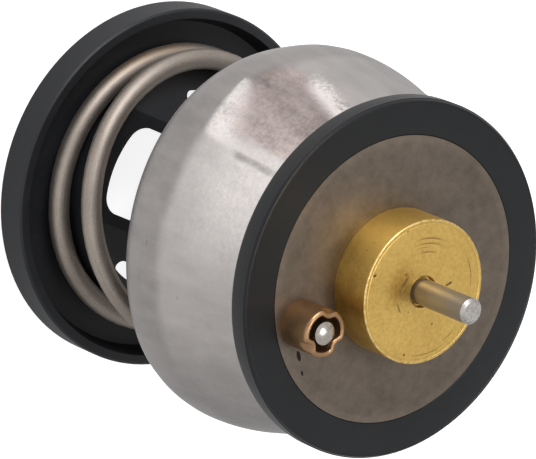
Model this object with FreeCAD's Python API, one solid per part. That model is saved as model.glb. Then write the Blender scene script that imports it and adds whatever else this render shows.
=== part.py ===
import FreeCAD, Part
import math
import os

Vector = FreeCAD.Vector

# Engine thermostat insert of the sleeve type, standing on its base ring.
# The origin is the centre of the base ring's underside, +Z runs up the axis to the piston pin.
# The engine side is at the bottom, the housing cover's side is at the top.
# Lengths are in millimetres and angles in degrees from +X.

# How far the valve opens, and how high its plate stands when closed
valve_stroke = 7.5
plate_back_z = 54.6

# Wax element: pin, turned head with its spigot, and the cup crimped to it
pin_r = 1.8
pin_chamfer = 0.4
pin_free = 10.45
sliding_gap = 0.03
part_gap = 0.05
head_r = 10.0
head_height = 6.4
head_chamfer = 0.5
head_mouth_gap = 0.375
head_mouth_depth = 2.0
head_shoulder = 2.0
spigot_length = 7.7
crimp_groove_depth = 0.7
crimp_lip = 1.0
crimp_flare = 1.2
cup_step = 0.8
cup_wall = 0.9
cup_bottom = 1.2
cup_lift_gap = 2.3
diaphragm_thickness = 0.8
funnel_flare = 1.2
funnel_depth = 1.6
plug_length = 3.0
disc_length = 0.6

# Valve plate, bare between the head and the lip of its moulded rubber rim, which fills a step
plate_thickness = 1.2
plate_step = 0.5
plate_band = 9.95
seal_cover = 2.55
seal_rim = 2.5
seal_depth = 3.3
seal_front_lip = 0.1
seal_front_round = 0.6
seal_back_round = 0.8
seal_sleeve_gap = 0.2

# Deep drawn sleeve
sleeve_wall = 0.8
sleeve_swell = 2.0
sleeve_belly_depth = 21.6
sleeve_corner_r = 1.4
belly_r = 25.0
shoulder_r = 6.0
mouth_inset = 5.4

# Return spring: closed end coils, a short run in, and an open helix between
wire_r = 1.45
spring_side_gap = 0.95
spring_seat_gap = 0.02
closed_gap = 0.09
closed_turn = 330.0
run_in_turn = 120.0
open_turn = 509.0
spring_start_angle = 180.0
spring_step = 15.0

# Base ring, moulded in one piece with its bridge and hub
ring_height = 5.1
rim_width = 1.4
rim_slope = 0.9
rim_edge_chamfer = 0.25
seat_depth = 2.65
seat_side_gap = 2.85
bridge_side_gap = 0.65
bridge_wall = 2.2
bridge_rise = 6.95
bridge_fall = 0.456
bar_flat = 1.65
window_rim = 2.65
window_corner_r = 3.0
window_hub_corner_r = 1.2
window_hub_lap = 0.95
side_window_depth = 2.5
side_window_corner_r = 0.8
hub_web = 1.4
hub_wall = 1.6
hub_height = 3.5
hub_chamfer = 1.0

# Guide stem under the cup, with its washer and clip
stem_r = 2.5
stem_clear = 0.3
stem_tail = 0.6
stem_chamfer = 0.4
stem_flange_width = 1.7
stem_flange = 0.8
clip_thickness = 0.7
clip_groove_depth = 0.5
clip_width = 1.4
clip_opening = 3.0
washer_thickness = 0.75
washer_width = 1.6
washer_side_gap = 0.3
guide_gap = 0.05

# Bleed tube with its jiggle pin and weight
tube_angle = 309.1
tube_r = 3.3
tube_wall = 0.8
tube_height = 5.5
tube_lip = 0.3
tube_neck_r = 1.65
tube_neck_wall = 0.5
tube_flare_width = 0.15
tube_flare = 0.35
tube_spring_gap = 0.1
tube_pinch_angle = 199.0
tube_pinch_depth = 0.75
tube_pinch_length = 2.6
tube_points = 24
jiggle_lift = 1.0
jiggle_side_gap = 0.15
jiggle_dome = 0.5
jiggle_rise = 0.35
jiggle_collar = 0.7
jiggle_collar_gap = 0.35
jiggle_shank_gap = 0.4
weight_lap = 0.4
weight_length = 4.0

# Radii that follow for the valve, from the axis outwards
bore_r = pin_r + sliding_gap
funnel_r = pin_r + funnel_flare
head_mouth_r = pin_r + head_mouth_gap
spigot_r = head_r - head_shoulder
groove_r = spigot_r - crimp_groove_depth
cup_r = spigot_r - cup_step
cup_rim_r = spigot_r + crimp_flare
seal_lip_r = head_r + plate_band
plate_r = seal_lip_r + seal_cover
seal_outer_r = plate_r + seal_rim
sleeve_max_r = seal_outer_r + sleeve_swell
mouth_r = sleeve_max_r - mouth_inset

# Radii that follow for the spring and the base ring
spring_mean_r = plate_r - sleeve_wall - spring_side_gap - wire_r
seat_outer_r = spring_mean_r + wire_r + seat_side_gap
ring_outer_r = seat_outer_r + rim_slope + rim_width
bridge_outer_r = spring_mean_r - wire_r - bridge_side_gap
bridge_inner_r = bridge_outer_r - bridge_wall
window_outer_r = bridge_outer_r - window_rim
side_window_in = window_outer_r - side_window_depth
clip_r = stem_r + clip_width
washer_r = stem_r + washer_width
stem_flange_r = stem_r + stem_flange_width
hub_pocket_r = washer_r + washer_side_gap
hub_r = hub_pocket_r + hub_wall
hub_web_r = hub_r + hub_web
window_half = hub_web_r - window_hub_lap
bridge_flat_half = window_half + bar_flat

# Radii and place that follow for the bleed tube, which clears the spring's top coil
tube_bore_r = tube_neck_r - tube_neck_wall
tube_flare_r = tube_neck_r + tube_flare_width
tube_place_r = spring_mean_r - wire_r - tube_spring_gap - tube_flare_r
tube_x = tube_place_r * math.cos(math.radians(tube_angle))
tube_y = tube_place_r * math.sin(math.radians(tube_angle))
jiggle_r = tube_r - tube_wall - tube_pinch_depth - jiggle_side_gap
jiggle_collar_r = tube_r - tube_wall - jiggle_collar_gap
jiggle_shank_r = tube_bore_r - jiggle_shank_gap
weight_r = tube_bore_r + weight_lap

# Heights that follow, from the open valve's lowest point up
stem_end_z = valve_stroke + stem_clear
clip_low_z = stem_end_z + stem_tail
clip_high_z = clip_low_z + clip_thickness
washer_high_z = clip_high_z + washer_thickness
hub_floor_z = washer_high_z + part_gap
hub_top_z = hub_floor_z + hub_height
cup_bottom_z = hub_top_z + cup_lift_gap + stem_flange + valve_stroke
seat_floor_z = ring_height - seat_depth
bridge_top_z = seat_floor_z + bridge_rise

# Heights that follow, from the valve plate
plate_front_z = plate_back_z + plate_thickness
plate_step_z = plate_front_z - plate_step
flange_back_z = plate_back_z - sleeve_wall
seal_front_z = plate_front_z + seal_front_lip
seal_back_z = plate_front_z - seal_depth
sleeve_max_z = plate_back_z - sleeve_belly_depth
head_front_z = plate_front_z + head_height
pin_tip_z = head_front_z + pin_free
tube_end_z = plate_front_z + tube_height
collar_seat_z = plate_front_z + tube_wall
flare_end_z = flange_back_z - tube_flare
weight_top_z = flare_end_z - jiggle_lift - part_gap
spigot_end_z = plate_front_z - spigot_length
diaphragm_back_z = spigot_end_z - diaphragm_thickness
plug_start_z = spigot_end_z + funnel_depth
disc_start_z = plug_start_z + plug_length
pin_start_z = disc_start_z + disc_length

# Angle of the sleeve's cone, which runs from the plate's edge tangent to the belly
belly_x = sleeve_max_r - belly_r
cone_reach = math.hypot(plate_r - belly_x, sleeve_belly_depth)
cone_angle = math.atan2(sleeve_belly_depth, plate_r - belly_x) - math.acos(belly_r / cone_reach)


def turned(outline):
    """Revolve a closed outline of (radius, height) points about the axis."""
    points = [Vector(r, 0, z) for r, z in outline]
    face = Part.Face(Part.makePolygon(points + [points[0]]))
    return face.revolve(Vector(0, 0, 0), Vector(0, 0, 1), 360)


def disc(radius, low, high, x=0.0, y=0.0):
    """Upright cylinder from one height to another."""
    return Part.makeCylinder(radius, high - low, Vector(x, y, low))


def upright_edges(shape, radius_low, radius_high):
    """Straight vertical edges whose distance from the axis lies between two radii."""
    found = []
    for edge in shape.Edges:
        start = edge.firstVertex().Point
        end = edge.lastVertex().Point
        place = math.hypot(start.x, start.y)
        level = math.hypot(start.x - end.x, start.y - end.y) < 0.001
        if level and edge.Length > 0.1 and radius_low < place < radius_high:
            found.append(edge)
    return found


def ring_edges(shape, radius, height):
    """Full circular edges of one radius at one height."""
    found = []
    for edge in shape.Edges:
        if isinstance(edge.Curve, Part.Circle):
            centre = edge.Curve.Center
            if abs(edge.Curve.Radius - radius) < 0.01 and abs(centre.z - height) < 0.01:
                found.append(edge)
    return found


def roof(half_width, drop):
    """Bridge form: flat along the middle, falling away to both sides, seen along Y."""
    top = bridge_top_z - drop
    side = top - (half_width - bridge_flat_half) * bridge_fall
    outline = [(-half_width, 0), (half_width, 0), (half_width, side)]
    outline += [(bridge_flat_half, top), (-bridge_flat_half, top), (-half_width, side)]
    points = [Vector(x, -half_width, z) for x, z in outline]
    face = Part.Face(Part.makePolygon(points + [points[0]]))
    return face.extrude(Vector(0, 2 * half_width, 0))


def make_base_ring():
    """Ring with its spring seat, bridge with four windows, and hub for the stem."""
    ring = turned([
        (bridge_inner_r, 0),
        (ring_outer_r - rim_edge_chamfer, 0),
        (ring_outer_r, rim_edge_chamfer),
        (ring_outer_r, ring_height - rim_edge_chamfer),
        (ring_outer_r - rim_edge_chamfer, ring_height),
        (ring_outer_r - rim_width, ring_height),
        (seat_outer_r, seat_floor_z),
        (bridge_inner_r, seat_floor_z),
    ])
    bridge = roof(bridge_outer_r, 0).common(disc(bridge_outer_r, 0, bridge_top_z))
    hollow = roof(bridge_inner_r, bridge_wall).common(disc(bridge_inner_r, 0, bridge_top_z))
    hub = disc(hub_r, bridge_top_z - bridge_wall, hub_top_z)
    hub = hub.makeChamfer(hub_chamfer, ring_edges(hub, hub_r, hub_top_z))
    base = ring.fuse(bridge.cut(hollow)).fuse(hub)
    middle_r = (window_outer_r + hub_web_r) / 2
    window = disc(window_outer_r, 0, hub_top_z).cut(disc(hub_web_r, 0, hub_top_z))
    for side in (-1, 1):
        slot_y = min(side * window_outer_r, 0)
        slot = Part.makeBox(2 * window_half, window_outer_r, hub_top_z, Vector(-window_half, slot_y, 0))
        cutter = window.common(slot)
        cutter = cutter.makeFillet(window_corner_r, upright_edges(cutter, middle_r, bridge_outer_r))
        cutter = cutter.makeFillet(window_hub_corner_r, upright_edges(cutter, 0, middle_r))
        base = base.cut(cutter)
        side_x = min(side * side_window_in, side * window_outer_r)
        place = Vector(side_x, -window_outer_r, 0)
        strip = Part.makeBox(side_window_depth, 2 * window_outer_r, hub_top_z, place)
        cutter = strip.common(disc(window_outer_r, 0, hub_top_z))
        cutter = cutter.makeFillet(side_window_corner_r, upright_edges(cutter, side_window_in, bridge_outer_r))
        base = base.cut(cutter)
    base = base.cut(disc(hub_pocket_r, 0, hub_floor_z))
    base = base.cut(disc(stem_r + guide_gap, 0, hub_top_z))
    return base.removeSplitter()


def spring_height(turn, total):
    """Height of the wire's centre after so many degrees from the bottom end."""
    bottom = seat_floor_z + wire_r + spring_seat_gap
    top = flange_back_z - wire_r - spring_seat_gap
    if turn > total / 2:
        return bottom + top - spring_height(total - turn, total)
    closed = (2 * wire_r + closed_gap) / 360
    closed_rise = closed * (2 * closed_turn + run_in_turn)
    opened = (top - bottom - closed_rise) / (open_turn + run_in_turn)
    run_in = min(max(turn - closed_turn, 0), run_in_turn)
    past = max(turn - closed_turn - run_in_turn, 0)
    return bottom + closed * turn + (opened - closed) * (run_in * run_in / (2 * run_in_turn) + past)


def make_return_spring():
    """Round wire swept along the coil, from the base ring's seat to the sleeve's flange."""
    total = 2 * (closed_turn + run_in_turn) + open_turn
    steps = math.ceil(total / spring_step)
    points = []
    for step in range(steps + 1):
        turn = total * step / steps
        angle = math.radians(spring_start_angle + turn)
        place = Vector(math.cos(angle), math.sin(angle), 0) * spring_mean_r
        points.append(place + Vector(0, 0, spring_height(turn, total)))
    curve = Part.BSplineCurve()
    curve.interpolate(points)
    spine = Part.Wire([curve.toShape()])
    start = curve.value(curve.FirstParameter)
    along = curve.tangent(curve.FirstParameter)[0]
    section = Part.Wire([Part.makeCircle(wire_r, start, along)])
    pipe = Part.BRepOffsetAPI.MakePipeShell(spine)
    pipe.setBiNormalMode(Vector(0, 0, 1))
    pipe.add(section)
    pipe.build()
    pipe.makeSolid()
    return pipe.shape()


def sleeve_outline(offset):
    """Points of the sleeve's section at a distance inside its outer face."""
    shoulder_x = sleeve_max_r - shoulder_r
    mouth_angle = math.acos((mouth_r - shoulder_x) / shoulder_r)
    shoulder = shoulder_r - offset
    belly = belly_r - offset
    mouth = (shoulder_x + shoulder * math.cos(mouth_angle), sleeve_max_z - shoulder * math.sin(mouth_angle))
    half = mouth_angle / 2
    bend = (shoulder_x + shoulder * math.cos(half), sleeve_max_z - shoulder * math.sin(half))
    widest = (shoulder_x + shoulder, sleeve_max_z)
    rise = cone_angle / 2
    swell = (belly_x + belly * math.cos(rise), sleeve_max_z + belly * math.sin(rise))
    leave = (belly_x + belly * math.cos(cone_angle), sleeve_max_z + belly * math.sin(cone_angle))
    top_z = plate_back_z - offset
    corner = (leave[0] - (top_z - leave[1]) * math.tan(cone_angle), top_z)
    return mouth, bend, widest, swell, leave, corner


def make_valve_sleeve():
    """Drawn steel barrel: open mouth, round shoulder, belly, cone and flat front flange."""
    spigot_hole = spigot_r + part_gap
    edges = []
    ends = []
    for offset in (0, sleeve_wall):
        mouth, bend, widest, swell, leave, corner = [Vector(r, 0, z) for r, z in sleeve_outline(offset)]
        inner = Vector(spigot_hole, 0, corner.z)
        edges.append(Part.Arc(mouth, bend, widest).toShape())
        edges.append(Part.Arc(widest, swell, leave).toShape())
        edges.append(Part.makeLine(leave, corner))
        edges.append(Part.makeLine(corner, inner))
        ends.append((mouth, inner, corner))
    edges.append(Part.makeLine(ends[0][0], ends[1][0]))
    edges.append(Part.makeLine(ends[0][1], ends[1][1]))
    face = Part.Face(Part.Wire(Part.__sortEdges__(edges)))
    sleeve = face.revolve(Vector(0, 0, 0), Vector(0, 0, 1), 360)
    outer = ring_edges(sleeve, ends[0][2].x, ends[0][2].z)
    sleeve = sleeve.makeFillet(sleeve_corner_r, outer)
    inner = ring_edges(sleeve, ends[1][2].x, ends[1][2].z)
    sleeve = sleeve.makeFillet(sleeve_corner_r - sleeve_wall, inner)
    return sleeve.cut(disc(tube_neck_r + part_gap, flange_back_z, plate_back_z, tube_x, tube_y))


def make_valve_plate():
    """Steel disc with a stepped rim that closes the port, with holes for the element and the bleed tube."""
    plate = disc(plate_r, plate_back_z, plate_step_z).fuse(disc(seal_lip_r, plate_back_z, plate_front_z))
    plate = plate.removeSplitter()
    plate = plate.cut(disc(spigot_r + part_gap, plate_back_z, plate_front_z))
    return plate.cut(disc(tube_neck_r + part_gap, plate_back_z, plate_front_z, tube_x, tube_y))


def make_rim_seal():
    """Rubber ring moulded round the plate's rim, with a thin lip over its face."""
    skirt_r = plate_r + (plate_back_z - seal_back_z) * math.tan(cone_angle) + seal_sleeve_gap
    seal = turned([
        (skirt_r, seal_back_z),
        (seal_outer_r, seal_back_z),
        (seal_outer_r, seal_front_z),
        (seal_lip_r, seal_front_z),
        (seal_lip_r, plate_step_z),
        (plate_r, plate_step_z),
        (plate_r, plate_back_z),
        (skirt_r, plate_back_z - sleeve_corner_r),
    ])
    seal = seal.makeFillet(seal_back_round, ring_edges(seal, seal_outer_r, seal_back_z))
    return seal.makeFillet(seal_front_round, ring_edges(seal, seal_outer_r, seal_front_z))


def make_guide_head():
    """Turned brass head that guides the piston, with its spigot through the plate."""
    groove_z = flange_back_z - crimp_lip - part_gap
    return turned([
        (bore_r, plug_start_z),
        (funnel_r, spigot_end_z),
        (spigot_r, spigot_end_z),
        (spigot_r, groove_z),
        (groove_r, groove_z),
        (groove_r, flange_back_z),
        (spigot_r, flange_back_z),
        (spigot_r, plate_front_z),
        (head_r, plate_front_z),
        (head_r, head_front_z - head_chamfer),
        (head_r - head_chamfer, head_front_z),
        (head_mouth_r, head_front_z),
        (head_mouth_r, head_front_z - head_mouth_depth),
        (bore_r, head_front_z - head_mouth_depth),
    ])


def make_wax_cup():
    """Drawn cup of the element, its rim crimped into the groove of the head's spigot."""
    inner_r = cup_r - cup_wall
    seat_z = diaphragm_back_z
    rim_inner_r = cup_rim_r - cup_wall
    lip_r = groove_r + part_gap
    return turned([
        (0, cup_bottom_z),
        (cup_r, cup_bottom_z),
        (cup_r, seat_z - cup_wall),
        (cup_rim_r, seat_z - cup_wall),
        (cup_rim_r, flange_back_z),
        (lip_r, flange_back_z),
        (lip_r, flange_back_z - crimp_lip),
        (rim_inner_r, flange_back_z - crimp_lip),
        (rim_inner_r, seat_z),
        (inner_r, seat_z),
        (inner_r, cup_bottom_z + cup_bottom),
        (0, cup_bottom_z + cup_bottom),
    ])


def make_wax_charge():
    """Wax that fills the cup up to the diaphragm."""
    return disc(cup_r - cup_wall - sliding_gap, cup_bottom_z + cup_bottom, diaphragm_back_z)


def make_diaphragm():
    """Rubber disc clamped between the cup's shoulder and the spigot."""
    return disc(cup_rim_r - cup_wall - part_gap, diaphragm_back_z, spigot_end_z)


def make_gel_plug():
    """Soft fill of the funnel between the diaphragm and the rubber plug."""
    return turned([
        (0, spigot_end_z),
        (funnel_r - sliding_gap, spigot_end_z),
        (pin_r - sliding_gap, plug_start_z),
        (0, plug_start_z),
    ])


def make_rubber_plug():
    """Plug that pushes the piston along the bore."""
    return disc(pin_r, plug_start_z, disc_start_z)


def make_backup_disc():
    """Hard disc that keeps the plug out of the piston's gap."""
    return disc(pin_r, disc_start_z, pin_start_z)


def make_piston_pin():
    """Steel piston pin, chamfered at its free end."""
    pin = disc(pin_r, pin_start_z, pin_tip_z)
    return pin.makeChamfer(pin_chamfer, ring_edges(pin, pin_r, pin_tip_z))


def make_tail_stem():
    """Stem under the cup, guided by the base ring's hub and grooved for the clip."""
    flange_z = cup_bottom_z - stem_flange
    clip_groove_r = stem_r - clip_groove_depth
    groove_z = clip_low_z - part_gap
    return turned([
        (0, stem_end_z),
        (stem_r - stem_chamfer, stem_end_z),
        (stem_r, stem_end_z + stem_chamfer),
        (stem_r, groove_z),
        (clip_groove_r, groove_z),
        (clip_groove_r, clip_high_z),
        (stem_r, clip_high_z),
        (stem_r, flange_z),
        (stem_flange_r, flange_z),
        (stem_flange_r, cup_bottom_z),
        (0, cup_bottom_z),
    ])


def make_stem_washer():
    """Washer between the clip and the hub's underside."""
    washer = disc(washer_r, clip_high_z, washer_high_z)
    return washer.cut(disc(stem_r + part_gap, clip_high_z, washer_high_z))


def make_retaining_clip():
    """Open clip in the stem's groove, which holds the ring on against the spring."""
    inner_r = stem_r - clip_groove_depth + part_gap
    clip = disc(clip_r, clip_low_z, clip_high_z).cut(disc(inner_r, clip_low_z, clip_high_z))
    mouth = Part.makeBox(clip_opening, clip_r, clip_thickness, Vector(-clip_opening / 2, 0, clip_low_z))
    return clip.cut(mouth)


def pinched_wire(radius, height):
    """Closed curve of the bleed tube: a circle with three pinches that deepen towards the mouth."""
    share = max(height - tube_end_z + tube_pinch_length, 0) / tube_pinch_length
    depth = tube_pinch_depth * share * share * (3 - 2 * share)
    points = []
    for step in range(tube_points):
        angle = 2 * math.pi * step / tube_points
        pinch = (1 + math.cos(3 * (angle - math.radians(tube_pinch_angle)))) / 2
        reach = radius - depth * pinch * pinch
        points.append(Vector(tube_x + reach * math.cos(angle), tube_y + reach * math.sin(angle), height))
    curve = Part.BSplineCurve()
    curve.interpolate(Points=points, PeriodicFlag=True)
    return Part.Wire([curve.toShape()])


def pinched_solid(radius, low, high):
    """Round bar that passes into the pinched form towards the mouth."""
    round_z = tube_end_z - tube_pinch_length
    sections = [pinched_wire(radius, low), pinched_wire(radius, (low + round_z) / 2)]
    for share in (0.0, 0.35, 0.7, 1.0):
        sections.append(pinched_wire(radius, round_z + (high - round_z) * share))
    return Part.makeLoft(sections, True, False)


def make_jiggle_tube():
    """Copper bleed tube on the plate, pinched at three places so that the pin stays in."""
    lip_z = tube_end_z - tube_lip
    body = pinched_solid(tube_r, plate_front_z, lip_z)
    lip = Part.makeLoft([pinched_wire(tube_r, lip_z), pinched_wire(tube_r - tube_lip, tube_end_z)], True, True)
    body = body.fuse(lip).cut(pinched_solid(tube_r - tube_wall, collar_seat_z, tube_end_z))
    neck = disc(tube_neck_r, flange_back_z, plate_front_z, tube_x, tube_y)
    flare = disc(tube_flare_r, flare_end_z, flange_back_z, tube_x, tube_y)
    tube = body.fuse(neck).fuse(flare)
    return tube.cut(disc(tube_bore_r, flare_end_z, collar_seat_z, tube_x, tube_y))


def make_jiggle_pin():
    """Loose pin in the bleed tube: domed end, collar on its seat, and shank to the weight."""
    tip_z = tube_end_z + jiggle_rise
    dome_r = (jiggle_r * jiggle_r + jiggle_dome * jiggle_dome) / (2 * jiggle_dome)
    dome = Part.makeSphere(dome_r, Vector(tube_x, tube_y, tip_z - dome_r))
    stem = disc(jiggle_r, collar_seat_z, tip_z, tube_x, tube_y).common(dome)
    stem = stem.fuse(disc(jiggle_r, collar_seat_z, tip_z - jiggle_dome, tube_x, tube_y))
    collar = disc(jiggle_collar_r, collar_seat_z, collar_seat_z + jiggle_collar, tube_x, tube_y)
    shank = disc(jiggle_shank_r, weight_top_z, collar_seat_z, tube_x, tube_y)
    return stem.fuse(collar).fuse(shank).removeSplitter()


def make_jiggle_weight():
    """Weight on the lower end of the jiggle pin, which pulls it back to its seat."""
    weight = disc(weight_r, weight_top_z - weight_length, weight_top_z, tube_x, tube_y)
    return weight.makeFillet(weight_r / 2, weight.Edges[0:1] + weight.Edges[2:3])


makers = {
    "base_ring": make_base_ring,
    "return_spring": make_return_spring,
    "valve_plate": make_valve_plate,
    "rim_seal": make_rim_seal,
    "valve_sleeve": make_valve_sleeve,
    "guide_head": make_guide_head,
    "wax_cup": make_wax_cup,
    "wax_charge": make_wax_charge,
    "diaphragm": make_diaphragm,
    "gel_plug": make_gel_plug,
    "rubber_plug": make_rubber_plug,
    "backup_disc": make_backup_disc,
    "piston_pin": make_piston_pin,
    "tail_stem": make_tail_stem,
    "stem_washer": make_stem_washer,
    "retaining_clip": make_retaining_clip,
    "jiggle_tube": make_jiggle_tube,
    "jiggle_pin": make_jiggle_pin,
    "jiggle_weight": make_jiggle_weight,
}

os.makedirs("parts", exist_ok=True)
for name, make in makers.items():
    shape = make()
    shape.exportStep("parts/" + name + ".step")
    print(name, shape.ShapeType, "solids", len(shape.Solids), "valid", shape.isValid(), "volume", round(shape.Volume, 1))
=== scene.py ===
import math

import bpy
from mathutils import Matrix, Vector


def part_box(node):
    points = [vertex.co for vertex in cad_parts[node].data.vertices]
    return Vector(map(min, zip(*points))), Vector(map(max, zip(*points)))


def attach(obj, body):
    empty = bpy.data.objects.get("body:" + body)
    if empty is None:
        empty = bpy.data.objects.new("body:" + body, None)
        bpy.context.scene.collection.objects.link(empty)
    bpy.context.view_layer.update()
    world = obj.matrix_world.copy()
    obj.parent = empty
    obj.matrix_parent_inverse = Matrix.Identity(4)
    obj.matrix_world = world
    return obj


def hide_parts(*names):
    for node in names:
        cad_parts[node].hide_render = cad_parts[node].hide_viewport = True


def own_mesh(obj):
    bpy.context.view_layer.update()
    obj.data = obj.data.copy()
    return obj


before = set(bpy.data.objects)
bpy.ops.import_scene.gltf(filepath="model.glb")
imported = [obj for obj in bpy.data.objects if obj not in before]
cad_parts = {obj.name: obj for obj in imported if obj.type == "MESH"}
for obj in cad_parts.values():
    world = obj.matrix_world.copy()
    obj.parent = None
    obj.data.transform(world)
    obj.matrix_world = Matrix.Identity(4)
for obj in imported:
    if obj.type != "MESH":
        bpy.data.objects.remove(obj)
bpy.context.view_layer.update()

# Base ring: one moulding of black glass-filled nylon, with the spring's seat inside its rim, a bridge
# with four windows across the middle and the stem's hub on top of the bridge. It leaves the mould with
# a satin skin, and the fibres show as a fine mottle.


class Signal:
    """A socket in a finish: arithmetic on signals adds Math nodes, and node() adds any other kind."""

    def __init__(self, tree, socket=None):
        self.tree = tree
        self.socket = socket

    def node(self, kind, settings=(), sockets=(), output=0):
        """Adds a node: its settings first, then its sockets' values or links."""
        made = self.tree.nodes.new(kind)
        for name, value in dict(settings).items():
            setattr(made, name, value)
        for name, value in dict(sockets).items():
            if isinstance(value, Signal):
                self.tree.links.new(value.socket, made.inputs[name])
            else:
                made.inputs[name].default_value = value
        return Signal(self.tree, made.outputs[output] if made.outputs else None)

    def maths(self, operation, *values):
        return self.node("ShaderNodeMath", {"operation": operation}, dict(enumerate(values)))

    def __add__(self, other):
        return self.maths("ADD", self, other)

    def __sub__(self, other):
        return self.maths("SUBTRACT", self, other)

    def __rsub__(self, other):
        return self.maths("SUBTRACT", other, self)

    def __mul__(self, other):
        return self.maths("MULTIPLY", self, other)

    def __truediv__(self, other):
        return self.maths("DIVIDE", self, other)

    __radd__ = __add__
    __rmul__ = __mul__

    def step(self, low, high):
        """0 below one value, 1 above the other, smooth between them; low may be the higher."""
        ends = {"Value": self, "From Min": low, "From Max": high}
        return self.node("ShaderNodeMapRange", {"interpolation_type": "SMOOTHSTEP"}, ends)

    def between(self, low, high, soft):
        """1 between two values, 0 outside them, with soft edges of this width."""
        return self.step(low - soft, low + soft) * self.step(high + soft, high - soft)

    def tint(self, colour_at_0, colour_at_1, blend="MIX"):
        """Colour between two others, by this signal."""
        settings = {"data_type": "RGBA", "blend_type": blend}
        return self.node("ShaderNodeMix", settings, {0: self, 6: colour_at_0, 7: colour_at_1}, 2)

    def noise(self, scale, detail=3.0, roughness=0.55):
        """Noise over this vector signal."""
        values = {"Vector": self, "Scale": scale, "Detail": detail, "Roughness": roughness}
        return self.node("ShaderNodeTexNoise", {}, values)

    def vector(self, x, y, z):
        return self.node("ShaderNodeCombineXYZ", {}, {"X": x, "Y": y, "Z": z})

    def axes(self, *wanted):
        """The wanted ones of place, a vector, and its x, y, z, radius and angle round the axis in degrees."""
        place = self.node("ShaderNodeTexCoord", output="Object")
        x, y, z = (self.node("ShaderNodeSeparateXYZ", {}, {"Vector": place}, output=name) for name in "XYZ")
        radius = self.maths("SQRT", x * x + y * y)
        angle = self.maths("ARCTAN2", y, x) * math.degrees(1)
        found = {"place": place, "x": x, "y": y, "z": z, "radius": radius, "angle": angle}
        return [found[name] for name in wanted]

    def relief(self, height, distance):
        """Normal of a surface that this height, in parts of a distance in metres, stands on."""
        return self.node("ShaderNodeBump", {}, {"Height": height, "Distance": distance, "Strength": 1.0})

    def skin(self, **values):
        """Closes the finish with one shader over the whole surface."""
        named = {name.replace("_", " "): value for name, value in values.items()}
        shader = self.node("ShaderNodeBsdfPrincipled", {}, named, "BSDF")
        self.node("ShaderNodeOutputMaterial", {}, {"Surface": shader})


def new_finish(name):
    """An empty finish and the signal that its pattern starts from."""
    finish = bpy.data.materials.new(name)
    finish.use_nodes = True
    finish.node_tree.nodes.clear()
    return finish, Signal(finish.node_tree)


def dress(finish, *nodes):
    """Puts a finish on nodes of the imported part."""
    for name in nodes:
        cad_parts[name].data.materials.clear()
        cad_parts[name].data.materials.append(finish)


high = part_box("base_ring")[1]
ring_r = high[0]
black_plastic, start = new_finish("moulded_nylon")
place, radius = start.axes("place", "radius")
mottle = place.noise(2600, 4.0)
flow = place.noise(160, 2.0)
# Painted light: the outer wall is painted paler than the ring's inside, which stays dark as painted shade.
lit_outer_wall = radius.step(ring_r - 0.0007, ring_r - 0.0003)
nylon_dark, nylon_pale = (0.004, 0.0045, 0.0055, 1), (0.019, 0.02, 0.024, 1)
start.skin(
    Base_Color=(mottle * 0.4 + flow * 0.4 + lit_outer_wall * 0.25).tint(nylon_dark, nylon_pale),
    Roughness=0.4 + mottle * 0.16 + flow * 0.08,
    Specular_IOR_Level=0.34,
    Normal=start.relief(mottle, 0.00003),
)
dress(black_plastic, "base_ring")

# Return spring: round steel wire, cold drawn, coiled and stress-relieved, which leaves a taupe heat tint.
# Its closed end coil lies in the base ring's seat and the top coil bears under the sleeve's flange.
low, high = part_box("return_spring")
wire_r = 0.00145
coil_r, lowest, highest = high[0] - wire_r, low[2] + wire_r, high[2] - wire_r
closed_turn, run_in_turn, open_turn = 330, 120, 509
whole_turn = 2 * (closed_turn + run_in_turn) + open_turn
closed_rise = 0.00299 / 360
wire_sides, coil_steps, end_rounding = 24, 235, 0.0002


def coil_height(turn):
    """Height of the wire's middle after so many degrees: closed end, run in, open coils, the same back."""
    if turn > whole_turn / 2:
        return lowest + highest - coil_height(whole_turn - turn)
    closed_height = closed_rise * (2 * closed_turn + run_in_turn)
    open_rise = (highest - lowest - closed_height) / (open_turn + run_in_turn)
    run_in = min(max(turn - closed_turn, 0), run_in_turn)
    past = max(turn - closed_turn - run_in_turn, 0)
    return lowest + closed_rise * turn + (open_rise - closed_rise) * (run_in ** 2 / (2 * run_in_turn) + past)


def pick(piece, wanted):
    """Selects the corners of a piece that pass a test of their place, with the edges between them."""
    bpy.ops.mesh.select_mode(type="VERT")
    bpy.ops.mesh.select_all(action="DESELECT")
    bpy.ops.object.mode_set(mode="OBJECT")
    for corner in piece.data.vertices:
        corner.select = wanted(corner.co)
    bpy.ops.object.mode_set(mode="EDIT")


def finish_piece(piece, finish, body, slot, sharp, *nodes):
    """Smooths a piece up to an angle in degrees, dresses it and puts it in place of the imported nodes."""
    bpy.ops.object.mode_set(mode="OBJECT")
    piece.select_set(True)
    bpy.ops.object.shade_smooth_by_angle(angle=math.radians(sharp))
    piece.data.materials.append(finish)
    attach(piece, body)
    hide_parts(*nodes)


bpy.ops.object.select_all(action="DESELECT")
bpy.ops.mesh.primitive_circle_add(
    vertices=wire_sides,
    radius=wire_r,
    fill_type="NGON",
    location=(-coil_r, 0, lowest),
    rotation=(math.pi / 2, 0, 0),
)
spring = bpy.context.object
spring.name = "coiled_spring"
bpy.ops.object.transform_apply(location=True, rotation=True)
bpy.ops.object.mode_set(mode="EDIT")
bpy.ops.mesh.select_all(action="SELECT")
turn_step = whole_turn / coil_steps
for step in range(coil_steps):
    next_z = coil_height(turn_step * (step + 1))
    rise = next_z - coil_height(turn_step * step)
    bpy.ops.mesh.extrude_region_move(TRANSFORM_OT_translate={"value": (0, 0, rise)})
    bpy.ops.transform.rotate(value=-math.radians(turn_step), orient_axis="Z", center_override=(0, 0, next_z))
bpy.ops.mesh.bevel(offset=end_rounding, segments=2)
pick(spring, lambda spot: abs(spot.y) < 0.000001 and spot.x < 0 and spot.z < lowest + wire_r * 1.02)
bpy.ops.mesh.bevel(offset=end_rounding, segments=2)
bpy.ops.mesh.select_all(action="SELECT")
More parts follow.
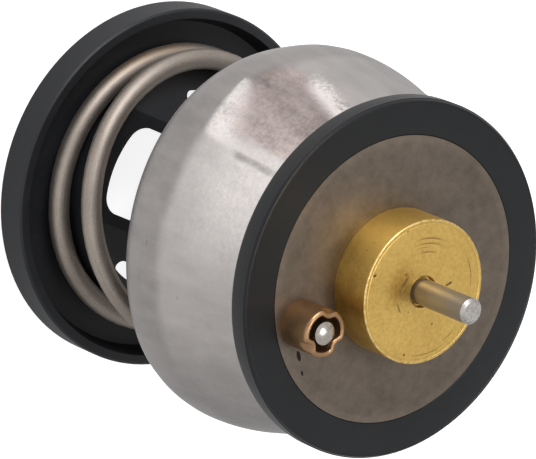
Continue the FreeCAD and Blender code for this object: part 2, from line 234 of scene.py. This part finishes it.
bpy.ops.mesh.normals_make_consistent(inside=False)

spring_wire, start = new_finish("drawn_wire")
place, z, radius, angle = start.axes("place", "z", "radius", "angle")
die_lines = start.vector(radius, z * 0.06, angle * 0.000007).noise(5200, 2.0, 0.7)
bloom = place.noise(120, 2.0)
speckle = place.noise(4200, 3.0)
warm_highlight_at, shaded_side_at = -142, -8
# Painted warm highlight on the lowest coil at one side.
warm_highlight = (angle - warm_highlight_at).between(-20, 20, 12) * z.step(0.0058, 0.0050)
# Painted shade on the coils at the side where the sleeve shades them.
shaded_side = (angle - shaded_side_at).between(-30, 40, 22) * 0.25
wire_shade = bloom * 0.6 + die_lines * 0.6 + (speckle - 0.5) * 0.8 - 0.1 - shaded_side
taupe = wire_shade.tint((0.22, 0.185, 0.16, 1), (0.47, 0.415, 0.37, 1))
start.skin(
    Base_Color=(warm_highlight * 0.5).tint(taupe, (0.4, 0.28, 0.17, 1)),
    Metallic=1.0,
    Roughness=0.47 + speckle * 0.1 + die_lines * 0.08,
    Normal=start.relief(die_lines * 0.7 + speckle * 0.3, 0.000012),
)
finish_piece(spring, spring_wire, "seat", "spring_steel", 40, "return_spring")
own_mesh(spring)

# Stem, washer and clip: turned and pressed steel with a thin zinc coat. The stem runs through the hub,
# and the clip in its groove keeps the base ring on against the spring.
zinc_coat, start = new_finish("zinc_coat")
place, z, radius = start.axes("place", "z", "radius")
turning = start.vector(0.0, 0.0, z + radius).noise(9000, 2.0)
bloom = place.noise(500, 3.0)
start.skin(
    Base_Color=bloom.tint((0.42, 0.42, 0.41, 1), (0.6, 0.6, 0.58, 1)),
    Metallic=1.0,
    Roughness=0.3 + bloom * 0.2,
    Normal=start.relief(turning, 0.00001),
)
dress(zinc_coat, "tail_stem", "stem_washer", "retaining_clip", "jiggle_weight")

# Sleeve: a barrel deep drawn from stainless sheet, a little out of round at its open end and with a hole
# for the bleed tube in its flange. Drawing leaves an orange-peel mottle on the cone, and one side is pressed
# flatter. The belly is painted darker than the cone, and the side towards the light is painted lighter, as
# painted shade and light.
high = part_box("valve_sleeve")[1]
sleeve_r, sleeve_top = high[0], high[2]
sleeve_wall, spigot_hole_r = 0.0008, 0.00805
mouth_r, shoulder_r = 0.0216, 0.006
belly_r, belly_z = 0.025, sleeve_top - 0.0216
flange_corner_r, flange_corner_bend = 0.0214, 0.0014
cone_steps = 14
tube_low, tube_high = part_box("jiggle_tube")
tube_place = ((tube_low[0] + tube_high[0]) / 2, (tube_low[1] + tube_high[1]) / 2)
tube_hole_r = 0.0017


def drawn_ring(name, section, around, centre=(0, 0)):
    """A ring of this closed section of (radius, height) corners: a circle, drawn on from corner to corner."""
    bpy.ops.object.select_all(action="DESELECT")
    first_r, first_z = section[0]
    bpy.ops.mesh.primitive_circle_add(vertices=around, radius=first_r, location=(*centre, first_z))
    piece = bpy.context.object
    piece.name = name
    bpy.ops.object.transform_apply(location=True)
    bpy.ops.object.mode_set(mode="EDIT")
    bpy.ops.mesh.select_all(action="SELECT")
    for (radius, height), (next_radius, next_height) in zip(section, section[1:] + section[:1]):
        bpy.ops.mesh.extrude_region_move(TRANSFORM_OT_translate={"value": (0, 0, next_height - height)})
        widen = next_radius / radius
        bpy.ops.transform.resize(value=(widen, widen, 1), center_override=(*centre, next_height))
    bpy.ops.mesh.select_all(action="SELECT")
    bpy.ops.mesh.remove_doubles(threshold=0.000001)
    bpy.ops.mesh.normals_make_consistent(inside=False)
    return piece


def push(direction, depth, reach):
    """Moves what is selected along an angle in degrees, and drags along what lies within reach."""
    lean = math.radians(direction)
    bpy.ops.transform.translate(
        value=(depth * math.cos(lean), depth * math.sin(lean), 0),
        use_proportional_edit=True,
        proportional_edit_falloff="SMOOTH",
        proportional_size=reach,
    )


def off_angle(spot, centre, direction):
    """Degrees between a spot and a direction, seen from a centre."""
    seen = math.degrees(math.atan2(spot.y - centre[1], spot.x - centre[0]))
    return abs((seen - direction + 180) % 360 - 180)


def bend(middle_r, middle_z, bend_r, tilts):
    """Corners of (radius, height) along an arc, at these tilts in degrees above level."""
    leans = [math.radians(tilt) for tilt in tilts]
    return [(middle_r + bend_r * math.cos(lean), middle_z + bend_r * math.sin(lean)) for lean in leans]


def barrel_side(inset):
    """The barrel's side at a distance inside its outer face, from its open end up to the flange."""
    shoulder_middle, belly_middle = sleeve_r - shoulder_r, sleeve_r - belly_r
    flange_z = sleeve_top - flange_corner_bend
    across, up = flange_corner_r - belly_middle, flange_z - belly_z
    narrowing = math.acos((belly_r - flange_corner_bend) / math.hypot(across, up))
    cone_tilt = math.degrees(math.atan2(up, across) - narrowing)
    mouth_tilt = -math.degrees(math.acos((mouth_r - shoulder_middle) / shoulder_r))
    shoulder = bend(shoulder_middle, belly_z, shoulder_r - inset, (mouth_tilt, *range(-72, 0, 12)))
    belly = bend(belly_middle, belly_z, belly_r - inset, [cone_tilt * part / 6 for part in range(7)])
    flange = bend(flange_corner_r, flange_z, flange_corner_bend - inset, (cone_tilt, 30, 50, 70, 90))
    (start_r, start_z), (end_r, end_z) = belly[-1], flange[0]
    parts = [part / cone_steps for part in range(1, cone_steps)]
    cone = [(start_r + (end_r - start_r) * part, start_z + (end_z - start_z) * part) for part in parts]
    return shoulder + belly + cone + flange


flange_edge = [(spigot_hole_r, sleeve_top), (spigot_hole_r, sleeve_top - sleeve_wall)]
sleeve = drawn_ring("drawn_sleeve", barrel_side(0) + flange_edge + barrel_side(sleeve_wall)[::-1], 288)
for direction, depth, reach in ((237, 0.00055, 0.014), (295, -0.00055, 0.015)):
    pick(sleeve, lambda spot: spot.z < belly_z - 0.0005 and off_angle(spot, (0, 0), direction) < 5)
    push(direction, depth, reach)
flat_at, flat_half, flat_from, flat_to, flat_r = 235, 15.5, 0.0395, 0.0535, 0.0215
pick(sleeve, lambda spot: (
    flat_from < spot.z < flat_to
    and spot.xy.length > flat_r
    and off_angle(spot, (0, 0), flat_at) < flat_half
))
push(flat_at, -0.00018, 0.002)
bpy.ops.object.mode_set(mode="OBJECT")
bpy.ops.object.select_all(action="DESELECT")
bpy.ops.mesh.primitive_cylinder_add(
    vertices=48, radius=tube_hole_r, depth=0.004, location=(*tube_place, sleeve_top - sleeve_wall / 2)
)
drill = bpy.context.object
hole = sleeve.modifiers.new("tube_hole", "BOOLEAN")
hole.operation = "DIFFERENCE"
hole.object = drill
bpy.context.view_layer.objects.active = sleeve
bpy.ops.object.modifier_apply(modifier=hole.name)
bpy.data.objects.remove(drill)


def facing(direction, x, y, radius):
    """1 on the side that faces an angle in degrees, 0 a quarter turn away and -1 on the far side."""
    lean = math.radians(direction)
    return (x * math.cos(lean) + y * math.sin(lean)) / radius


sleeve_steel, start = new_finish("drawn_steel")
place, x, y, z, radius, angle = start.axes("place", "x", "y", "z", "radius", "angle")
peel = place.noise(1500, 4.0, 0.62)
grit = place.noise(6500, 2.0)
cloud = place.noise(170, 3.0)
drawn = start.vector(x, y, z * 0.25).noise(420, 3.0)
speck = (peel * 0.55 + grit * 0.45).step(0.36, 0.64)
cone = (z + cloud * 0.001 - 0.0005).step(0.0366, 0.0390)
near_rim = z.step(0.038, 0.0475)
# Painted light: the side towards the light is painted lighter, most on the cone, and the far side a little
# lighter.
toward_light = facing(-105, x, y, radius)
lit_side = toward_light.step(-0.25, 1.0)
polish_highlight_at, highlight_streak_at, pressed_at, foot_highlight_at, crease_at = -91, -142.5, -126, -118.5, -106.4
cone_foot_band_at, spring_reflection_at, belly_sheen_at = -135, -116, -146
# Painted highlight on the cone near the rim, which is also polished smoother.
polish_highlight_band = (angle - polish_highlight_at + cloud * 12).between(-19, 16, 20)
polish_and_highlight = polish_highlight_band * (cone * 0.14 + near_rim * 0.42)
belly_sheen = (angle - belly_sheen_at).between(-14, 16, 10) * (1 - cone)

# The pressed side is painted darker and warmer as a painted reflection, and its bump is rougher; a painted
# highlight streaks down its left and a painted highlight runs along its foot.
highlight_streak_band = (angle - highlight_streak_at + speck * 2.4 - (z - 0.043) * 600).between(-2.2, 2.8, 3.2)
highlight_streak = highlight_streak_band * (z + peel * 0.0024).between(0.0438, 0.056, 0.0024)
pressed_band = (angle - pressed_at + drawn * 4).between(-15, 15, 2.4)
pressed = pressed_band * (z + angle * 0.00002).between(0.0352, 0.056, 0.0007) * (1 - highlight_streak)
above_foot = (z - (angle + 128) * 0.0001 - 0.0362) / ((angle + 130) * 0.00025 + 0.0018)
foot_highlight_band = (angle - foot_highlight_at + peel * 4).between(-9, 12, 1.6)
foot_highlight = foot_highlight_band * above_foot.step(-0.15, 0.05) * (above_foot + (peel - 0.5) * 1.2).step(1.3, 0.1)
# The crease is bumped in and painted darker along it, as painted shade.
crease = (angle - crease_at + drawn).between(-0.9, 1.1, 0.9) * z.between(0.0435, 0.0507, 0.0012)
# A darker, warmer band where the cone starts.
cone_foot_band = (angle - cone_foot_band_at + cloud * 6).between(-3, 7, 5) * z.between(0.0366, 0.0380, 0.0010)
# Painted reflection of the spring: a warm, lighter band low on one side.
spring_reflection = (angle - spring_reflection_at).between(-8, 8, 8) * z.step(0.0312, 0.0292)
nicks = 0.0
for nick_angle, nick_z, half_angle, half_z in (
    (-71.5, 0.0352, 0.9, 0.00009),
    (-92, 0.0329, 0.7, 0.00008),
    (-58, 0.0414, 0.5, 0.00012),
    (-83, 0.0442, 0.8, 0.00008),
):
    off_nick = angle - nick_angle
    nick_line = (z - nick_z + off_nick * 0.0001).between(-half_z, half_z, 0.00006)
    nicks = (off_nick + drawn).between(-half_angle, half_angle, 0.35) * nick_line + nicks

# Painted light: lighter on the lit side and the cone, with a painted sheen on the belly, painted highlights
# and the spring's painted reflection; darker on the pressed side and in the crease, and darker at the nicks.
bright = 0.17 - cone * 0.03 + lit_side * (cone * 0.25 + 0.145) + belly_sheen * 0.06
bright = bright + toward_light.step(-0.2, -0.8) * 0.16
bright = bright + polish_and_highlight * 0.72 + highlight_streak * 0.64 + foot_highlight * (0.5 - polish_and_highlight * 0.6) + spring_reflection * 0.2
mottled = polish_and_highlight * 0.36 + highlight_streak * 0.5 + pressed * 0.12 + foot_highlight * 0.3 + lit_side * 0.035
bright = bright + (speck - 0.5) * mottled + (cloud.step(0.36, 0.64) - 0.5) * 0.045
bright = bright + (drawn - 0.5) * (0.08 + lit_side * 0.14 + pressed * 0.3)
bright = bright - crease * 0.4 - nicks * 0.12 - cone_foot_band * 0.1 - pressed * (0.13 + near_rim * 0.1)
# Warm tint from the pressed side's and the spring's painted reflections and the cone's foot band.
warm = pressed * (0.8 - foot_highlight * 0.7) + spring_reflection * 0.7 + cone_foot_band * 0.6
steel = bright.tint((0.1, 0.093, 0.091, 1), (0.79, 0.742, 0.722, 1))
start.skin(
    Base_Color=warm.tint(steel, (1.0, 0.87, 0.84, 1), "MULTIPLY"),
    Metallic=1.0,
    Roughness=0.35 + peel * 0.12 - polish_and_highlight * 0.08,
    Normal=start.relief(peel * (0.4 + cone) + grit * 0.4 - crease * 6 - pressed * 2.0, 0.00004),
)
finish_piece(sleeve, sleeve_steel, "valve", "sleeve_steel", 40, "valve_sleeve")

# Wax cup: drawn brass, its rim crimped into the groove of the head's spigot. Inside it sit the wax,
# the rubber diaphragm, the soft fill, the rubber plug and the hard disc under the piston.
cup_brass, start = new_finish("drawn_brass")
place, z, angle = start.axes("place", "z", "angle")
draw_lines = start.vector(angle * 0.0002, 0.0, z * 0.05).noise(3000, 3.0)
tarnish = place.noise(180, 3.0)
start.skin(
    Base_Color=tarnish.tint((0.42, 0.26, 0.09, 1), (0.72, 0.5, 0.2, 1)),
    Metallic=1.0,
    Roughness=0.3 + tarnish * 0.2,
    Normal=start.relief(draw_lines, 0.00001),
)
dress(cup_brass, "wax_cup")

for name, dark, pale, gloss in (
    ("wax_charge", (0.5, 0.4, 0.2, 1), (0.66, 0.56, 0.34, 1), 0.45),
    ("diaphragm", (0.012, 0.012, 0.012, 1), (0.03, 0.03, 0.03, 1), 0.7),
    ("gel_plug", (0.5, 0.5, 0.42, 1), (0.6, 0.6, 0.52, 1), 0.25),
    ("rubber_plug", (0.012, 0.012, 0.012, 1), (0.03, 0.03, 0.03, 1), 0.7),
    ("backup_disc", (0.75, 0.75, 0.7, 1), (0.85, 0.85, 0.82, 1), 0.4),
):
    filling, start = new_finish(name + "_finish")
    (place,) = start.axes("place")
    blend = place.noise(900, 3.0)
    start.skin(
        Base_Color=blend.tint(dark, pale),
        Roughness=gloss + blend * 0.15,
        Normal=start.relief(blend, 0.00002),
    )
    dress(filling, name)

# Valve plate: a flat stainless disc on the sleeve's flange, rolled and stamped, satin and slightly brown.
# Two specks of black ink are left on it beside the bleed tube.
low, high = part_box("valve_plate")
plate_r, plate_back, plate_front = high[0], low[2], high[2]


def oval(x, y, middle, turned, long_half, wide_half):
    """Distance from the middle of an oval mark that lies at an angle in degrees, 1 at its edge."""
    lean_x, lean_y = math.cos(math.radians(turned)), math.sin(math.radians(turned))
    along = ((x - middle[0]) * lean_x + (y - middle[1]) * lean_y) * (1 / long_half)
    across = ((x - middle[0]) * lean_y - (y - middle[1]) * lean_x) * (1 / wide_half)
    return x.maths("SQRT", along * along + across * across)


plate_steel, start = new_finish("rolled_plate")
place, x, y, z, radius = start.axes("place", "x", "y", "z", "radius")
roll = start.vector(x * 0.12, y, z).noise(5200, 3.0)
cross = start.vector(x, y * 0.1, z).noise(4300, 3.0)
stain = place.noise(95, 3.0)
pores = place.noise(5200, 2.0)
smears = place.noise(620, 4.0, 0.6)
ink, ink_lean = 0.0, 44
for middle, long_half, wide_half in (
    ((0.01422, -0.01043), 0.00082, 0.00032),
    ((0.0162, -0.00871), 0.00042, 0.00017),
):
    ink = oval(x, y, middle, ink_lean, long_half, wide_half).step(1.1, 0.85) + ink
# Painted light: lighter towards the outer edge, and painted shade next to the head.
lit_outer_edge = radius.step(0.0185, 0.0195) * 0.25
shade_by_head = radius.step(0.0138, 0.0108) * 0.2
plate_shade = stain * 0.7 + smears * 1.1 + roll * 0.3 + cross * 0.3 + lit_outer_edge - shade_by_head - 0.68
brown_grey = plate_shade.tint((0.093, 0.077, 0.063, 1), (0.181, 0.147, 0.119, 1))
start.skin(
    Base_Color=ink.tint(brown_grey, (0.022, 0.017, 0.016, 1)),
    Metallic=1.0,
    Roughness=0.41 + stain * 0.1 + pores * 0.08,
    Normal=start.relief(roll * 0.3 + cross * 0.3 + pores * 0.4, 0.00002),
)
dress(plate_steel, "valve_plate")

# Rim seal: black rubber moulded round the plate's stepped rim and down the sleeve's flange. The mould's
# parting line leaves a fine ridge round the front corner, and the lip thins out on the plate.
low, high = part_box("rim_seal")
seal_r, seal_back, seal_front = high[0], low[2], high[2]
seal_inner_r, seal_lip_r, plate_gap, plate_step = 0.02335, 0.01996, 0.00001, 0.0005
seal = drawn_ring("moulded_rim_seal", [
    (seal_inner_r, seal_back),
    (seal_r - 0.0008, seal_back),
    (seal_r - 0.00024, seal_back + 0.00024),
    (seal_r, seal_back + 0.0008),
    (seal_r, seal_front - 0.00042),
    (seal_r - 0.00012, seal_front - 0.00034),
    (seal_r - 0.00018, seal_front - 0.0002),
    (seal_r - 0.00028, seal_front - 0.00004),
    (seal_r - 0.0004, seal_front),
    (seal_r - 0.00052, seal_front - 0.00005),
    (seal_r - 0.00062, seal_front - 0.00008),
    (seal_lip_r + 0.00034, seal_front - 0.00003),
    (seal_lip_r + 0.00014, seal_front - 0.00006),
    (seal_lip_r, seal_front - 0.0002),
    (seal_lip_r, plate_front - plate_step + plate_gap),
    (plate_r + plate_gap, plate_front - plate_step + plate_gap),
    (plate_r + plate_gap, plate_back - plate_gap),
    (seal_inner_r, plate_back - 0.0015),
], 288)
seal_rubber, start = new_finish("moulded_rubber")
place, z, radius = start.axes("place", "z", "radius")
bloom = place.noise(240, 3.0)
skin_grain = place.noise(3800, 3.0)
# Painted light: the outer wall is painted paler than the front face.
lit_wall = radius.step(seal_r - 0.00065, seal_r - 0.0003)
ridge = radius.step(seal_r - 0.0009, seal_r - 0.0005) * z.step(seal_front - 0.0008, seal_front - 0.0004)
start.skin(
    Base_Color=(bloom * 0.5 + lit_wall * 0.5).tint((0.0055, 0.0065, 0.0075, 1), (0.0135, 0.0138, 0.0155, 1)),
    Roughness=0.4 + skin_grain * 0.12 + bloom * 0.06 - ridge * 0.14,
    Specular_IOR_Level=0.26,
    Normal=start.relief(skin_grain * 0.6 + bloom * 0.4, 0.00003),
)
finish_piece(seal, seal_rubber, "valve", "seal_rubber", 30, "rim_seal")

# Head of the wax element: turned from brass bar and faced, so the tool leaves fine rings and a few
# torn arcs on its face and faint ridges on its side. The small rounded edge between them carries a
# painted highlight, and the side is painted lighter towards the light.
low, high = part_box("guide_head")
head_r, head_back, head_front = high[0], low[2], high[2]
spigot_r, groove_r, groove_back, groove_front = 0.008, 0.0073, plate_back - 0.00185, plate_back - 0.0008
bore_r, bore_mouth_r, tool_groove_r = 0.00183, 0.00218, 0.0095
head = drawn_ring("turned_head", [
    (bore_r, head_back + 0.0016),
    (0.003, head_back),
    (spigot_r, head_back),
    (spigot_r, groove_back),
    (groove_r, groove_back),
    (groove_r, groove_front),
    (spigot_r, groove_front),
    (spigot_r, plate_front),
    (head_r, plate_front),
    (head_r, head_front),
    (tool_groove_r + 0.00006, head_front),
    (tool_groove_r, head_front - 0.00002),
    (tool_groove_r - 0.00006, head_front),
    (tool_groove_r - 0.0002, head_front),
    (bore_mouth_r + 0.00032, head_front),
    (bore_mouth_r, head_front),
    (bore_mouth_r - 0.00006, head_front - 0.0009),
    (bore_r, head_front - 0.001),
], 192)
for corner_r, rounding in ((head_r, 0.00014), (bore_mouth_r, 0.0001)):
    pick(head, lambda spot: abs(spot.xy.length - corner_r) < 0.00001 and spot.z > head_front - 0.00001)
    bpy.ops.mesh.bevel(offset=rounding, segments=4)

turned_brass, start = new_finish("turned_brass")
place, x, y, z, radius, angle = start.axes("place", "x", "y", "z", "radius", "angle")
face = z.step(head_front - 0.0001, head_front - 0.00004)
tool_rings = start.vector(radius, 0.0, 0.0).noise(9000, 3.0)
side_ridges = start.vector(0.0, 0.0, z).noise(6000, 3.0)
patina = place.noise(300, 4.0)
mottle = place.noise(1900, 3.0)
pits = place.noise(1300, 2.0)
# Painted highlight on the rounded edge, broken up by the mottle.
edge_height = z.step(head_front - 0.0002, head_front - 0.0001)
edge_highlight = radius.step(head_r - 0.00024, head_r - 0.00016) * edge_height * mottle.step(0.38, 0.6)
scratches, nick_lean = 0.0, 135
for arc_r, middle, spread, width in (
    (0.0074, -163, 24, 0.00012),
    (0.0055, -160, 22, 0.00009),
    (0.0067, -161, 28, 0.00009),
    (0.0036, -95, 20, 0.00022),
    (0.0044, -40, 16, 0.00013),
    (0.00816, 126, 24, 0.00008),
    (0.00887, 34, 26, 0.00008),
    (0.0062, -152, 14, 0.00005),
    (0.0041, -107, 6, 0.0002),
    (0.0038, -80, 22, 0.00006),
    (0.0083, 60, 12, 0.00008),
):
    ring = (radius - arc_r + (mottle - 0.5) * 0.00012).between(-width, width, 0.00005)
    off_middle = start.maths("WRAP", angle - middle, 180.0, -180.0) + (patina - 0.5) * 10
    scratches = ring * off_middle.between(-spread * 0.6, spread * 0.6, spread * 0.4) * 0.8 + scratches
for middle, long_half, wide_half in (
    ((-0.0023, 0.0037), 0.00062, 0.0002),
    ((0.0005, -0.00904), 0.0003, 0.0002),
    ((0.00876, 0.00113), 0.0002, 0.00017),
):
    scratches = oval(x, y, middle, nick_lean, long_half, wide_half).step(1.2, 0.7) * 1.3 + scratches
dirt = scratches * face * mottle.step(0.2, 0.5) + pits.step(0.71, 0.77)
handled_r, handled_at = 0.0042, -85
handled = (radius - handled_r).between(-0.0018, 0.0016, 0.0012) * (angle - handled_at).between(-30, 30, 18)
# Painted light: the side is painted lighter towards the light.
toward_light = facing(-160, x, y, radius).step(-0.34, 0.87)
face_shade = patina * 0.3 + mottle * 0.7 + tool_rings * 0.3 - handled * 0.45 - 0.1
side_shade = patina * 0.9 + mottle * 0.5 + side_ridges * 0.3 + toward_light * 0.44 - 0.26
face_brass = face_shade.tint((0.36, 0.205, 0.045, 1), (0.76, 0.53, 0.165, 1))
side_brass = side_shade.tint((0.4, 0.2, 0.045, 1), (1.0, 0.67, 0.18, 1))
brass = (edge_highlight * 0.5).tint(face.tint(side_brass, face_brass), (0.9, 0.7, 0.4, 1))
start.skin(
    Base_Color=(dirt * 0.75).tint(brass, (0.12, 0.065, 0.02, 1)),
    Metallic=1.0,
    Roughness=0.38 + tool_rings * 0.1 + dirt * 0.2,
    Normal=start.relief(
        tool_rings * face * 0.2 + side_ridges * (1 - face) + mottle * 0.5 - dirt * 1.2, 0.000016
    ),
)
finish_piece(head, turned_brass, "valve", "turned_brass", 25, "guide_head")

# Piston pin: centreless-ground steel, so bright that its side mirrors the brass. Its end is chamfered and
# peened silver by the housing cover.
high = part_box("piston_pin")[1]
pin_end = high[2]
ground_steel, start = new_finish("ground_steel")
place, x, y, z, angle = start.axes("place", "x", "y", "z", "angle")
grind = start.vector(angle * 0.0002, 0.0, z).noise(7000, 3.0)
smear = start.vector(x, y, z * 0.12).noise(1400, 3.0)
hammered = place.noise(3300, 3.0)
tip = z.step(pin_end - 0.0004, pin_end - 0.0003)
pin_shade = smear * 0.5 + (hammered - 0.5) * (tip * 2.4 + 0.3) + 0.05
start.skin(
    Base_Color=pin_shade.tint((0.34, 0.32, 0.3, 1), (0.56, 0.54, 0.52, 1)),
    Metallic=1.0,
    Roughness=0.36 + smear * 0.12 + tip * 0.06,
    Normal=start.relief(grind * 0.25 + hammered * tip * 1.4, 0.00001),
)
dress(ground_steel, "piston_pin")

# Bleed tube: soft drawn copper, flared behind the plate and pinched at three places at its mouth, so that
# the loose pin inside stays in. It has gone brown; the rubbed lip is smoother, with a painted highlight.
tube_r, tube_back, tube_front = (tube_high[0] - tube_low[0]) / 2, tube_low[2], tube_high[2]
tube_bore_r = tube_r - 0.00072
neck_r, neck_bore_r, flare_r, flare, neck_length = 0.00165, 0.00115, 0.0018, 0.00035, 0.0055
step_depth = 0.0047
outer_drops = (neck_length, 0.0047, 0.0039, 0.0032, 0.0026, 0.002, 0.0015, 0.001, 0.0006, 0.0003)
bore_drops = (0.0002, 0.0006, 0.0011, 0.0016, 0.0022, 0.0028, 0.0034, 0.004, step_depth)
tube = drawn_ring("pinched_tube", [
    *((tube_r, tube_front - drop) for drop in outer_drops),
    (tube_r - 0.00006, tube_front - 0.00015),
    (tube_r - 0.00018, tube_front - 0.00005),
    (tube_r - 0.00034, tube_front),
    (tube_r - 0.0005, tube_front),
    (tube_bore_r + 0.00016, tube_front - 0.00003),
    (tube_bore_r + 0.00005, tube_front - 0.0001),
    *((tube_bore_r, tube_front - drop) for drop in bore_drops),
    (neck_bore_r, tube_front - step_depth),
    (neck_bore_r, tube_back),
    (flare_r, tube_back),
    (flare_r, tube_back + flare),
    (neck_r, tube_back + flare),
    (neck_r, tube_front - neck_length),
], 96, tube_place)
for pinch, depth in ((193, 0.00055), (329, 0.00072), (73, 0.00066)):
    pick(tube, lambda spot: spot.z > tube_front - 0.0005 and off_angle(spot, tube_place, pinch) < 4)
    push(pinch, -depth, 0.00128)
copper, start = new_finish("drawn_copper")
place, x, y, z = start.axes("place", "x", "y", "z")
# The rubbed lip is smoother and painted lighter as a painted highlight.
lip_wear_and_highlight = z.step(tube_front - 0.0008, tube_front - 0.0001)
drawn = start.vector(x, y, z * 0.05).noise(4200, 3.0)
stain = place.noise(420, 3.0)
copper_shade = stain * 0.6 + lip_wear_and_highlight * 0.16 + drawn * 0.2 - 0.03
start.skin(
    Base_Color=copper_shade.tint((0.27, 0.18, 0.095, 1), (0.46, 0.25, 0.13, 1)),
    Metallic=1.0,
    Roughness=0.38 + stain * 0.16 - lip_wear_and_highlight * 0.12,
    Normal=start.relief(drawn, 0.00001),
)
finish_piece(tube, copper, "valve", "copper_tube", 45, "jiggle_tube")

# Jiggle pin: a small bright steel pin with a domed end, loose in the tube, with a weight on its lower end
# that keeps it from falling out.
bright_pin, start = new_finish("bright_pin")
(place,) = start.axes("place")
dimple = place.noise(2400, 3.0)
start.skin(
    Base_Color=dimple.tint((0.38, 0.345, 0.31, 1), (0.62, 0.57, 0.52, 1)),
    Metallic=1.0,
    Roughness=0.2 + dimple * 0.1,
    Normal=start.relief(dimple, 0.000012),
)
dress(bright_pin, "jiggle_pin")

# Floor, light and camera: a pale floor just under the ring, a white room and three soft lamps. The camera
# stands where the photograph's viewing angle puts it.


def ray_kinds(start):
    """1 where the camera looks, also through glass, and 1 where a shiny surface looks."""
    camera_ray = start.node("ShaderNodeLightPath", output="Is Camera Ray")
    glass_ray = start.node("ShaderNodeLightPath", output="Is Transmission Ray")
    mirror_ray = start.node("ShaderNodeLightPath", output="Is Glossy Ray")
    return start.maths("MAXIMUM", camera_ray, glass_ray), mirror_ray


floor_size, floor_drop = 6.0, 0.0001
bpy.ops.object.select_all(action="DESELECT")
bpy.ops.mesh.primitive_plane_add(size=floor_size, location=(0, 0, -floor_drop))
floor = bpy.context.object
floor.name = "floor"
pale_floor, start = new_finish("pale_floor")
seen, mirrored = ray_kinds(start)
paint = start.node("ShaderNodeBsdfDiffuse", {}, {"Color": (0.5, 0.5, 0.5, 1)})
glow_values = {"Color": (1, 1, 1, 1), "Strength": seen * 0.86 + mirrored * 0.4}
glow = start.node("ShaderNodeEmission", {}, glow_values)
both = start.node("ShaderNodeAddShader", {}, {0: paint, 1: glow})
start.node("ShaderNodeOutputMaterial", {}, {"Surface": both})
floor.data.materials.append(pale_floor)

world = bpy.data.worlds.new("white_room")
bpy.context.scene.world = world
world.use_nodes = True
world.node_tree.nodes.clear()
start = Signal(world.node_tree)
seen, mirrored = ray_kinds(start)
sky_values = {"Color": (1, 1, 1, 1), "Strength": 0.45 + seen * 0.55 + mirrored * 0.2}
sky = start.node("ShaderNodeBackground", {}, sky_values)
start.node("ShaderNodeOutputWorld", {}, {"Surface": sky})

lamp_target = Vector((0, 0, 0.03))
for name, lamp_place, size, power in (
    ("soft_key", Vector((-0.42, -0.32, 0.34)), 0.3, 2.6),
    ("soft_fill", Vector((0.3, -0.5, 0.45)), 0.5, 0.7),
    ("soft_top", Vector((-0.05, 0.1, 0.75)), 0.3, 1.5),
):
    lamp = bpy.data.objects.new(name, bpy.data.lights.new(name, "AREA"))
    bpy.context.scene.collection.objects.link(lamp)
    lamp.data.shape = "DISK"
    lamp.data.size = size
    lamp.data.energy = power
    lamp.location = lamp_place
    lamp.rotation_euler = (lamp_target - lamp_place).to_track_quat("-Z", "Y").to_euler()
    lamp.visible_camera = False

bpy.context.scene.view_settings.view_transform = "Standard"
camera_place = Vector((0.00024, -0.5004, 0.6155))
camera = bpy.data.objects.new("camera", bpy.data.cameras.new("camera"))
bpy.context.scene.collection.objects.link(camera)
bpy.context.scene.camera = camera
camera.data.sensor_width = 36.0
camera.data.lens = 375.9
camera.data.clip_start = 0.05
camera.data.clip_end = 20.0
back = Vector((0.0, -0.6483, 0.7614)).normalized()
right = Vector((-0.3828, 0.7034, 0.5989))
right = (right - right.dot(back) * back).normalized()
aim = Matrix((right, back.cross(right), back)).transposed()
camera.matrix_world = Matrix.Translation(camera_place) @ aim.to_4x4()
